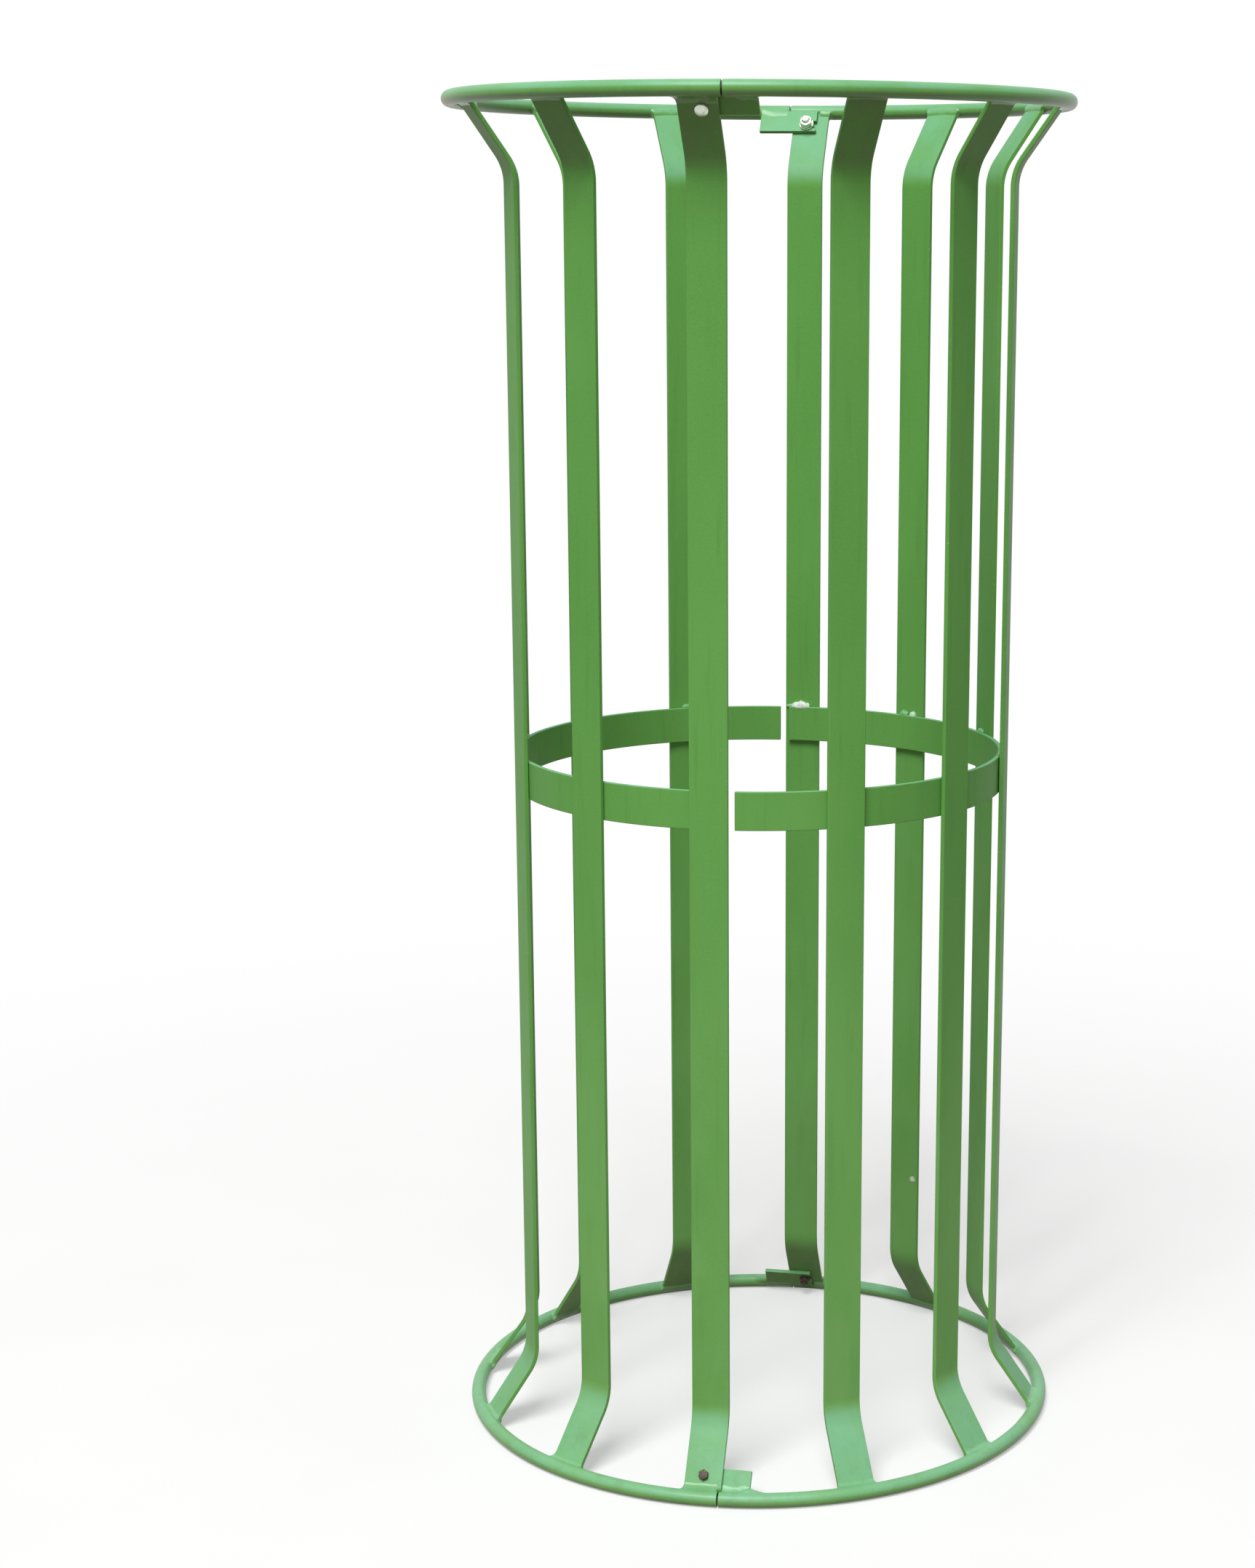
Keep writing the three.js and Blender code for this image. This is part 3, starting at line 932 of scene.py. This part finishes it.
def nut_shape(bolt):
    upper = -SLAT_THICKNESS - TAB_THICKNESS - bolt["washer_thickness"] - 3 * FIT_GAP
    lower = upper - bolt["nut_height"]
    bore = bolt["shank"] / 2 + FIT_GAP
    lead = bore + NUT_LEAD
    profile = [(bore, lower + NUT_LEAD), (lead, lower)]
    profile += chamfered_hexagon(bolt["nut"], lower, upper, True)
    profile += [(lead, upper), (bore, upper - NUT_LEAD)]
    shape = Shape()
    turned(shape, profile, HEXAGON_SEGMENTS)
    return shape


# Materials

def srgb(red, green, blue):
    """A colour written as 0 to 255, in the linear numbers that shaders take."""
    def linear(value):
        share = value / 255
        return share / 12.92 if share <= 0.04045 else ((share + 0.055) / 1.055) ** 2.4
    return (linear(red), linear(green), linear(blue), 1.0)


class Nodes:
    """A node tree: each method adds to it, and most give back an output."""

    def __init__(self, owner):
        owner.use_nodes = True
        self.owner = owner
        self.tree = owner.node_tree
        self.tree.nodes.clear()

    def add(self, kind, inputs=None, **settings):
        node = self.tree.nodes.new(kind)
        for key, value in settings.items():
            setattr(node, key, value)
        for key, value in (inputs or {}).items():
            if isinstance(value, bpy.types.NodeSocket):
                self.tree.links.new(value, node.inputs[key])
            else:
                node.inputs[key].default_value = value
        return node

    def math(self, operation, first, second):
        return self.add("ShaderNodeMath", {0: first, 1: second}, operation=operation).outputs[0]

    def background_seen(self):
        """1 where the camera, a reflection or glass looks, and 0 where it only lights the object."""
        path = self.add("ShaderNodeLightPath").outputs
        seen = self.math("MAXIMUM", path["Is Camera Ray"], path["Is Glossy Ray"])
        return self.math("MAXIMUM", seen, path["Is Transmission Ray"])


class Material(Nodes):
    """The nodes of a material, laid out by place on the object."""

    def __init__(self, name):
        super().__init__(bpy.data.materials.new(name))
        self.place = self.add("ShaderNodeTexCoord").outputs["Object"]

    def noise(self, size, detail, roughness=0.5, stretch=(1, 1, 1)):
        """Noise whose features are about that size in metres, stretched along each axis."""
        scale = tuple(1 / length for length in stretch)
        place = self.add("ShaderNodeMapping", {"Vector": self.place, "Scale": scale}).outputs[0]
        inputs = {"Vector": place, "Scale": 1 / size, "Detail": detail, "Roughness": roughness}
        return self.add("ShaderNodeTexNoise", inputs).outputs["Fac"]

    def patches(self, size, detail, low, high, least=0.0, most=1.0, roughness=0.5, stretch=(1, 1, 1)):
        """Patches of noise: least where it is under low, most where it is over high."""
        return self.ramp(self.noise(size, detail, roughness, stretch), low, high, least, most)

    def ramp(self, value, low, high, to_low=0.0, to_high=1.0):
        inputs = {"Value": value, "From Min": low, "From Max": high, "To Min": to_low, "To Max": to_high}
        return self.add("ShaderNodeMapRange", inputs, interpolation_type="SMOOTHSTEP").outputs[0]

    def mix(self, share, first, second):
        return self.add("ShaderNodeMix", {0: share, 6: first, 7: second}, data_type="RGBA").outputs[2]

    def blend(self, share, first, second):
        return self.add("ShaderNodeMix", {0: share, 2: first, 3: second}, data_type="FLOAT").outputs[0]

    def bump(self, height, depth, strength, under=None):
        inputs = {"Height": height, "Distance": depth, "Strength": strength}
        if under:
            inputs["Normal"] = under
        return self.add("ShaderNodeBump", inputs).outputs[0]

    def shade(self, **inputs):
        sockets = {key.replace("_", " "): value for key, value in inputs.items()}
        shader = self.add("ShaderNodeBsdfPrincipled", sockets)
        self.add("ShaderNodeOutputMaterial", {"Surface": shader.outputs[0]})
        return self.owner


# Marks on the paint: where, how far they reach, their colour and how much they cover
MARKS = (
    ((0.2305, 0.2395, 0.2335), 9 * MM, (226, 232, 214), 1.0),
    ((-0.3925, -0.1086, 1.7815), 17 * MM, (216, 88, 34), 1.0),
)


# Heights and slopes over which the paint grows dusty with painted bounce light, splashed, darker with
# painted shade, and pale with painted sky reflection
DUST_AND_BOUNCE_HEIGHTS = (1.1, 0.15)
SPLASH_HEIGHTS = (0.12, 0.0)
UNDERSIDE_SHADE_SLOPES = (-0.1, -0.5)
SKY_REFLECTION_SLOPES = (0.06, 0.36)


def green_paint(name, gloss=0.0, weld=False):
    """Outdoor enamel: mottled, pale on top with painted sky reflection, darker underneath with painted
    shade, paler low down with dust and painted bounce light, chipped on its edges, with painted shade in
    the ring seams and painted glare on some weld dabs.
    """
    m = Material(name)
    geometry = m.add("ShaderNodeNewGeometry")
    normal = m.add("ShaderNodeSeparateXYZ", {0: geometry.outputs["Normal"]}).outputs[2]
    height = m.add("ShaderNodeSeparateXYZ", {0: m.place}).outputs[2]
    # One attribute carries edge wear, painted seam shade and painted glare.
    wear = m.add("ShaderNodeAttribute", attribute_name="wear").outputs["Fac"]

    cloud = m.patches(0.22, 3, 0.3, 0.7, stretch=(1, 1, 2.5))
    colour = m.mix(cloud, srgb(91, 155, 68), srgb(103, 167, 80))
    speckle = m.patches(0.0016, 2, 0.35, 0.7, roughness=0.7)
    colour = m.mix(m.math("MULTIPLY", speckle, 0.35), colour, srgb(114, 177, 96))
    streak = m.patches(0.012, 3, 0.52, 0.75, 0, 0.3, roughness=0.6, stretch=(1, 1, 16))
    colour = m.mix(streak, colour, srgb(82, 138, 62))
    # Painted shade: surfaces that face down are greyed and darkened in patches, standing in for the
    # shade that falls on them.
    painted_shade_patches = m.patches(0.06, 4, 0.3, 0.7, 0.28, 0.48, roughness=0.6, stretch=(1, 1, 2))
    under = m.math("MULTIPLY", m.ramp(normal, *UNDERSIDE_SHADE_SLOPES), painted_shade_patches)
    colour = m.mix(under, colour, srgb(102, 102, 88))

    # Paler low down: partly dust, partly painted bounce light from the ground.
    dust_and_bounce_light = m.patches(0.09, 4, 0.25, 0.75, 0.12, 0.34, roughness=0.6, stretch=(1, 1, 2))
    dust_and_bounce_light = m.math("MULTIPLY", m.ramp(height, *DUST_AND_BOUNCE_HEIGHTS), dust_and_bounce_light)
    colour = m.mix(dust_and_bounce_light, colour, srgb(154, 202, 132))
    # Painted sky reflection: surfaces that face up are tinted pale mint, and are also made rougher.
    painted_sky_reflection = m.patches(0.12, 5, 0.25, 0.75, 0.18, 0.5, roughness=0.6)
    painted_sky_reflection = m.math("MULTIPLY", m.ramp(normal, *SKY_REFLECTION_SLOPES), painted_sky_reflection)
    colour = m.mix(painted_sky_reflection, colour, srgb(138, 204, 178))
    splash = m.patches(0.02, 5, 0.46, 0.75, roughness=0.7)
    splash = m.math("MULTIPLY", m.ramp(height, *SPLASH_HEIGHTS), splash)
    colour = m.mix(m.math("MULTIPLY", splash, 0.25), colour, srgb(104, 112, 76))

    chip_noise = m.noise(0.007, 5, 0.72)
    rubbed = m.math("MINIMUM", m.math("MAXIMUM", wear, 0.0), WORN)
    worn = m.math("ADD", m.math("MULTIPLY", rubbed, 0.16), chip_noise)
    chips = m.ramp(worn, 0.845, 0.86)
    rust = m.patches(0.003, 3, 0.45, 0.7, roughness=0.6)
    metal = m.mix(rust, srgb(168, 174, 156), srgb(124, 90, 62))
    colour = m.mix(m.ramp(worn, 0.79, 0.845, 0, 0.6), colour, srgb(132, 184, 112))
    colour = m.mix(chips, colour, metal)
    # Painted shade: where the value is below 0, the ring ends in the seam gap turn nearly black.
    colour = m.mix(m.ramp(wear, -0.2, -0.7, 0, 0.85), colour, srgb(38, 46, 32))
    # Painted glare: weld dabs whose value is above 1 turn near white.
    painted_glare_colour = m.mix(m.patches(0.004, 3, 0.4, 0.7, roughness=0.6), srgb(232, 238, 232), srgb(190, 214, 196))
    colour = m.mix(m.ramp(wear, WORN, PAINTED_GLARE, 0, 0.95), colour, painted_glare_colour)

    ragged = m.noise(0.006, 4, 0.7)
    for place, reach, tint, cover in MARKS:
        away = m.add("ShaderNodeVectorMath", {0: m.place, 1: place}, operation="DISTANCE")
        edge = m.math("ADD", m.math("MULTIPLY", away.outputs["Value"], 1 / reach), ragged)
        colour = m.mix(m.ramp(edge, 1.05, 0.85, 0, cover), colour, srgb(*tint))

    roughness = m.blend(m.noise(0.05, 3), lerp(0.46, 0.14, gloss), lerp(0.6, 0.26, gloss))
    roughness = m.blend(painted_sky_reflection, roughness, 0.55)
    roughness = m.blend(chips, roughness, 0.62)
    peel = m.bump(m.noise(0.0028, 2, 0.5), 0.12 * MM, 0.45)
    grain = m.bump(m.noise(0.0009, 2, 0.6), 0.05 * MM, 0.35, peel)
    skin = m.bump(m.math("SUBTRACT", 1.0, chips), 0.12 * MM, 0.8, grain)
    if weld:
        skin = m.bump(m.noise(0.005, 3, 0.6), 0.4 * MM, 0.4, skin)
    specular = lerp(0.2, 0.5, gloss)
    return m.shade(Base_Color=colour, Roughness=roughness, Specular_IOR_Level=specular, Normal=skin)


def zinc_plate(name):
    """Dull plated steel with a fine grain, a grey bloom and a few stains."""
    m = Material(name)
    bloom = m.patches(0.011, 3, 0.35, 0.65, roughness=0.55)
    colour = m.mix(bloom, srgb(212, 219, 204), srgb(168, 180, 154))
    stain = m.patches(0.0022, 3, 0.62, 0.78, 0, 0.5, roughness=0.6)
    colour = m.mix(stain, colour, srgb(120, 112, 84))
    roughness = m.blend(bloom, 0.2, 0.42)
    bump = m.bump(m.noise(0.0007, 3, 0.6), 0.02 * MM, 0.4)
    return m.shade(Base_Color=colour, Metallic=0.9, Roughness=roughness, Normal=bump)


def weathered_steel(name):
    """Dark steel that has lost its plating, browned by rust."""
    m = Material(name)
    rust = m.patches(0.0024, 5, 0.42, 0.68, roughness=0.7)
    colour = m.mix(rust, srgb(62, 60, 54), srgb(92, 66, 46))
    fresh = m.patches(0.0012, 3, 0.62, 0.74, 0, 0.7, roughness=0.6)
    colour = m.mix(fresh, colour, srgb(138, 88, 54))
    roughness = m.blend(rust, 0.45, 0.85)
    metallic = m.blend(rust, 0.75, 0.15)
    bump = m.bump(m.noise(0.0008, 4, 0.7), 0.12 * MM, 0.7)
    return m.shade(Base_Color=colour, Metallic=metallic, Roughness=roughness, Normal=bump)


# Floor, lights and camera

FLOOR_REACH = 30.0
FADE_START = 0.7
FADE_END = 3.0
SHADOW_FADE = 0.42
WORLD_STRENGTH = 0.25
KEY_LIGHT = dict(azimuth=-18, elevation=56, distance=20.0, size=9.0, power=4160)


def floor():
    """A pale floor that fades into the white background, and keeps the guard's shadow."""
    m = Material("pale_floor")
    seen = m.background_seen()
    pale = m.mix(m.patches(0.4, 2, 0.3, 0.7), srgb(247, 247, 246), srgb(250, 250, 249))
    colour = m.mix(seen, srgb(150, 140, 128), pale)
    distance = m.add("ShaderNodeVectorMath", {0: m.place}, operation="LENGTH").outputs["Value"]
    fade = m.math("MULTIPLY", m.ramp(distance, FADE_START, FADE_END, SHADOW_FADE, 1.0), seen)
    surface = m.add("ShaderNodeBsdfDiffuse", {"Color": colour})
    white = m.add("ShaderNodeEmission", {"Color": (1, 1, 1, 1), "Strength": 1.0})
    mixed = m.add("ShaderNodeMixShader", {0: fade, 1: surface.outputs[0], 2: white.outputs[0]})
    m.add("ShaderNodeOutputMaterial", {"Surface": mixed.outputs[0]})
    mesh = bpy.data.meshes.new("floor")
    corners = [(x * FLOOR_REACH, y * FLOOR_REACH, 0) for x, y in ((-1, -1), (1, -1), (1, 1), (-1, 1))]
    mesh.from_pydata(corners, [], [(0, 1, 2, 3)])
    mesh.materials.append(m.owner)
    piece = link("floor", mesh)
    piece.location.z = cad_box[0].z


def world(strength):
    """An even grey light on the object, in front of a white background."""
    nodes = Nodes(bpy.data.worlds.new("studio"))
    levels = {"Value": nodes.background_seen(), "To Min": strength, "To Max": 1.0}
    level = nodes.add("ShaderNodeMapRange", levels).outputs[0]
    background = nodes.add("ShaderNodeBackground", {"Color": (1, 1, 1, 1), "Strength": level})
    nodes.add("ShaderNodeOutputWorld", {"Surface": background.outputs[0]})
    bpy.context.scene.world = nodes.owner


def softbox(name, azimuth, elevation, distance, size, power):
    """An area lamp that looks at the middle of the guard. Azimuth 0 stands in front, and 90 at +X."""
    data = bpy.data.lights.new(name, "AREA")
    data.shape = "SQUARE"
    data.size = size
    data.energy = power
    lamp = link(name, data)
    a, e = math.radians(azimuth), math.radians(elevation)
    away = Vector((math.sin(a) * math.cos(e), -math.cos(a) * math.cos(e), math.sin(e)))
    lamp.location = Vector((0, 0, HALF_HEIGHT)) + away * distance
    lamp.rotation_euler = away.to_track_quat("Z", "Y").to_euler()


# The photograph's camera, fitted to the guard's edges in an image of that size
IMAGE_WIDTH, IMAGE_HEIGHT = 1725, 2156
FOCAL_LENGTH_PIXELS = 3952.6
AIM_PIXEL = (1122.4, 1243.3)
CAMERA_DISTANCE = 3.8810
CAMERA_HEIGHT = 1.6401
CAMERA_PITCH = math.radians(13.383)
CAMERA_YAW = math.radians(-1.167)
CAMERA_ROLL = math.radians(0.296)
SENSOR = 36


def camera():
    data = bpy.data.cameras.new("camera")
    data.sensor_width = SENSOR
    data.lens = FOCAL_LENGTH_PIXELS / IMAGE_HEIGHT * SENSOR
    data.shift_x = (IMAGE_WIDTH / 2 - AIM_PIXEL[0]) / IMAGE_HEIGHT
    data.shift_y = (AIM_PIXEL[1] - IMAGE_HEIGHT / 2) / IMAGE_HEIGHT
    made = link("camera", data)
    ahead = Vector((
        -math.sin(CAMERA_YAW) * math.cos(CAMERA_PITCH),
        math.cos(CAMERA_YAW) * math.cos(CAMERA_PITCH),
        -math.sin(CAMERA_PITCH),
    ))
    level = Vector((math.cos(CAMERA_YAW), math.sin(CAMERA_YAW), 0))
    above = level.cross(ahead)
    right = math.cos(CAMERA_ROLL) * level + math.sin(CAMERA_ROLL) * above
    up = math.cos(CAMERA_ROLL) * above - math.sin(CAMERA_ROLL) * level
    turn = Matrix((right, up, -ahead)).transposed().to_4x4()
    made.matrix_world = Matrix.Translation((0, -CAMERA_DISTANCE, CAMERA_HEIGHT)) @ turn
    bpy.context.scene.camera = made


# The guard

MATERIALS = {
    "green_paint": green_paint("green_paint"),
    "ring": green_paint("green_paint_on_rings", gloss=0.6),
    "weld": green_paint("green_paint_on_welds", gloss=0.8, weld=True),
    "zinc_plated_steel": zinc_plate("zinc_plated_steel"),
    "weathered_steel": weathered_steel("weathered_steel"),
}


def dress(piece, side, node=None, slot="green_paint", material=None):
    """Gives a piece its finish and its half of the guard, and hides the node that it stands for."""
    piece.data.materials.clear()
    piece.data.materials.append(MATERIALS[material or slot])
    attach(piece, f"{side}_half")
    if node:
        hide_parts(node)


def slat_turns(half_turn):
    return [half_turn - index * SLAT_PITCH_ANGLE for index in range(SLATS_PER_HALF)]


def add_fasteners(side, end, turn):
    bolt = end.bolt
    for kind, draw in (("bolt", bolt_shape), ("washer", washer_shape), ("nut", nut_shape)):
        node = f"{side}_{end.name}_{kind}"
        shape = draw(bolt)
        shape.place(bolt_place(end))
        piece = shape.piece(f"{node}_finished", turn, sharp=FASTENER_SHARPNESS)
        dress(piece, side, node, bolt["slot"])


def add_half(side, half_turn):
    far_turn = half_turn + math.pi
    for end in ENDS:
        node = f"{side}_{end.name}_ring"
        dress(ring_half(end).piece(f"{node}_finished", half_turn), side, node, material="ring")
        node = f"{side}_{end.name}_tab"
        dress(tab_piece(f"{node}_finished", end, far_turn), side, node)
        welds = Shape()
        for index, turn in enumerate(slat_turns(half_turn)):
            some_legs = (rng.uniform(*SIDE_LEGS), rng.uniform(*SIDE_LEGS))
            legs = SEEN_SIDE_LEGS.get((side, index + 1, end.name), some_legs)
            slat_weld(welds, end, turn, legs, seam=index == 0)
        tab_weld(welds, end, far_turn)
        piece = welds.piece(f"{side}_{end.name}_ring_welds", 0.0, WELD_SHARPNESS)
        dress(piece, side, material="weld")
        add_fasteners(side, end, half_turn)
    node = f"{side}_middle_band"
    dress(band_half().piece(f"{node}_finished", half_turn), side, node)
    welds = Shape()
    band_welds(welds, side, half_turn)
    dress(welds.piece(f"{side}_band_welds", 0.0, WELD_SHARPNESS), side, material="weld")
    for index, turn in enumerate(slat_turns(half_turn)):
        node = f"{side}_slat_{index + 1}"
        slat = slat_bar(seam=index == 0).piece(f"{node}_finished", turn)
        if index == 0:
            drill(slat, [hole_cutter(end, turn) for end in ENDS])
        dress(slat, side, node)


camera()
floor()
world(WORLD_STRENGTH)
softbox("key", **KEY_LIGHT)
for index, side in enumerate(HALVES):
    add_half(side, FIRST_SLAT_ANGLE + index * math.pi)

bpy.context.scene.view_settings.view_transform = "Standard"
